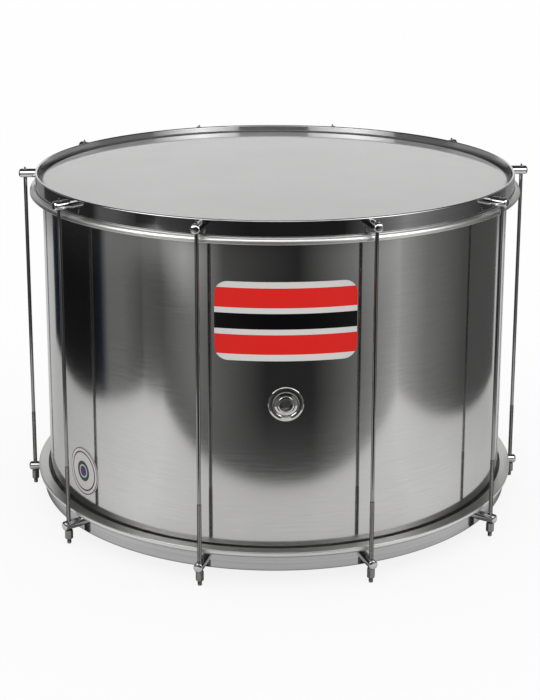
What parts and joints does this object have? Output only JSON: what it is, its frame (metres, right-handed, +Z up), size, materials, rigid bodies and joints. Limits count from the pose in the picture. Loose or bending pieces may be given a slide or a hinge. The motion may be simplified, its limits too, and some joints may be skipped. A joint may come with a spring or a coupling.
{
  "type": "surdo drum",
  "caption": "Wide shallow metal bass drum with two plastic heads, counter hoops, flesh hoops, radial lugs, long tension rods with hexagonal nuts, and a vent eyelet.",
  "frame": {"origin": "on the floor below the drum's centre, at the level of the rod ends that it stands on", "axes": "+Z up along the drum's axis, -Y through the vent at the drum's front, +X to the right seen from the front"},
  "size_m": [0.6142, 0.5858, 0.4043],
  "materials": {
    "shell_metal": "polished sheet with a fine upright grain",
    "counter_hoop_chrome": "bright plated band",
    "flesh_hoop_aluminium": "satin",
    "head_film": "milky polyester film, semi-gloss",
    "lug_chrome": "polished",
    "rod_steel": "polished shank, rolled thread",
    "nut_steel": "dull plating",
    "eyelet_metal": "bright plated",
    "badge_print": "printed film",
    "seal_print": "printed film"
  },
  "bodies": {
    "top_hoop_and_rods": {"top_head": "head_film", "top_flesh_hoop": "flesh_hoop_aluminium", "top_counter_hoop": "counter_hoop_chrome", "top_lug_01": "lug_chrome", "top_lug_02": "lug_chrome", "top_lug_03": "lug_chrome", "top_lug_04": "lug_chrome", "top_lug_05": "lug_chrome", "top_lug_06": "lug_chrome", "top_lug_07": "lug_chrome", "top_lug_08": "lug_chrome", "top_lug_09": "lug_chrome", "top_lug_10": "lug_chrome", "tension_rod_01": "rod_steel", "tension_rod_02": "rod_steel", "tension_rod_03": "rod_steel", "tension_rod_04": "rod_steel", "tension_rod_05": "rod_steel", "tension_rod_06": "rod_steel", "tension_rod_07": "rod_steel", "tension_rod_08": "rod_steel", "tension_rod_09": "rod_steel", "tension_rod_10": "rod_steel"},
    "shell": {"shell": "shell_metal", "vent_eyelet": "eyelet_metal", "vent_back_ring": "eyelet_metal", "front_badge": "badge_print", "round_seal": "seal_print"},
    "bottom_hoop": {"bottom_head": "head_film", "bottom_flesh_hoop": "flesh_hoop_aluminium", "bottom_counter_hoop": "counter_hoop_chrome", "bottom_lug_01": "lug_chrome", "bottom_lug_02": "lug_chrome", "bottom_lug_03": "lug_chrome", "bottom_lug_04": "lug_chrome", "bottom_lug_05": "lug_chrome", "bottom_lug_06": "lug_chrome", "bottom_lug_07": "lug_chrome", "bottom_lug_08": "lug_chrome", "bottom_lug_09": "lug_chrome", "bottom_lug_10": "lug_chrome"},
    "nut_01": {"rod_nut_01": "nut_steel"},
    "nut_02": {"rod_nut_02": "nut_steel"},
    "nut_03": {"rod_nut_03": "nut_steel"},
    "nut_04": {"rod_nut_04": "nut_steel"},
    "nut_05": {"rod_nut_05": "nut_steel"},
    "nut_06": {"rod_nut_06": "nut_steel"},
    "nut_07": {"rod_nut_07": "nut_steel"},
    "nut_08": {"rod_nut_08": "nut_steel"},
    "nut_09": {"rod_nut_09": "nut_steel"},
    "nut_10": {"rod_nut_10": "nut_steel"}
  },
  "joints": [
    {"name": "bottom_hoop_draw", "type": "slide", "parent": "top_hoop_and_rods", "child": "bottom_hoop", "axis": [0, 0, -1], "range_m": [0, 0.0055]},
    {"name": "shell_settle", "type": "slide", "parent": "top_hoop_and_rods", "child": "shell", "axis": [0, 0, -1], "range_m": [0, 0.00275]},
    {"name": "nut_01_turn", "type": "hinge", "parent": "bottom_hoop", "child": "nut_01", "pos_m": [0.09258, -0.28494, 0.0113], "axis": [0, 0, -1], "range_deg": [0, 2475.5]},
    {"name": "nut_02_turn", "type": "hinge", "parent": "bottom_hoop", "child": "nut_02", "pos_m": [0.24238, -0.1761, 0.0113], "axis": [0, 0, -1], "range_deg": [0, 2475.5]},
    {"name": "nut_03_turn", "type": "hinge", "parent": "bottom_hoop", "child": "nut_03", "pos_m": [0.2996, 0, 0.0113], "axis": [0, 0, -1], "range_deg": [0, 2475.5]},
    {"name": "nut_04_turn", "type": "hinge", "parent": "bottom_hoop", "child": "nut_04", "pos_m": [0.24238, 0.1761, 0.0113], "axis": [0, 0, -1], "range_deg": [0, 2475.5]},
    {"name": "nut_05_turn", "type": "hinge", "parent": "bottom_hoop", "child": "nut_05", "pos_m": [0.09258, 0.28494, 0.0113], "axis": [0, 0, -1], "range_deg": [0, 2475.5]},
    {"name": "nut_06_turn", "type": "hinge", "parent": "bottom_hoop", "child": "nut_06", "pos_m": [-0.09258, 0.28494, 0.0113], "axis": [0, 0, -1], "range_deg": [0, 2475.5]},
    {"name": "nut_07_turn", "type": "hinge", "parent": "bottom_hoop", "child": "nut_07", "pos_m": [-0.24238, 0.1761, 0.0113], "axis": [0, 0, -1], "range_deg": [0, 2475.5]},
    {"name": "nut_08_turn", "type": "hinge", "parent": "bottom_hoop", "child": "nut_08", "pos_m": [-0.2996, 0, 0.0113], "axis": [0, 0, -1], "range_deg": [0, 2475.5]},
    {"name": "nut_09_turn", "type": "hinge", "parent": "bottom_hoop", "child": "nut_09", "pos_m": [-0.24238, -0.1761, 0.0113], "axis": [0, 0, -1], "range_deg": [0, 2475.5]},
    {"name": "nut_10_turn", "type": "hinge", "parent": "bottom_hoop", "child": "nut_10", "pos_m": [-0.09258, -0.28494, 0.0113], "axis": [0, 0, -1], "range_deg": [0, 2475.5]}
  ],
  "couplings": [
    {"joint": "shell_settle", "follows": "bottom_hoop_draw", "ratio": 0.5},
    {"joint": "nut_01_turn", "follows": "bottom_hoop_draw", "rad_per_m": 7854},
    {"joint": "nut_02_turn", "follows": "bottom_hoop_draw", "rad_per_m": 7854},
    {"joint": "nut_03_turn", "follows": "bottom_hoop_draw", "rad_per_m": 7854},
    {"joint": "nut_04_turn", "follows": "bottom_hoop_draw", "rad_per_m": 7854},
    {"joint": "nut_05_turn", "follows": "bottom_hoop_draw", "rad_per_m": 7854},
    {"joint": "nut_06_turn", "follows": "bottom_hoop_draw", "rad_per_m": 7854},
    {"joint": "nut_07_turn", "follows": "bottom_hoop_draw", "rad_per_m": 7854},
    {"joint": "nut_08_turn", "follows": "bottom_hoop_draw", "rad_per_m": 7854},
    {"joint": "nut_09_turn", "follows": "bottom_hoop_draw", "rad_per_m": 7854},
    {"joint": "nut_10_turn", "follows": "bottom_hoop_draw", "rad_per_m": 7854}
  ]
}
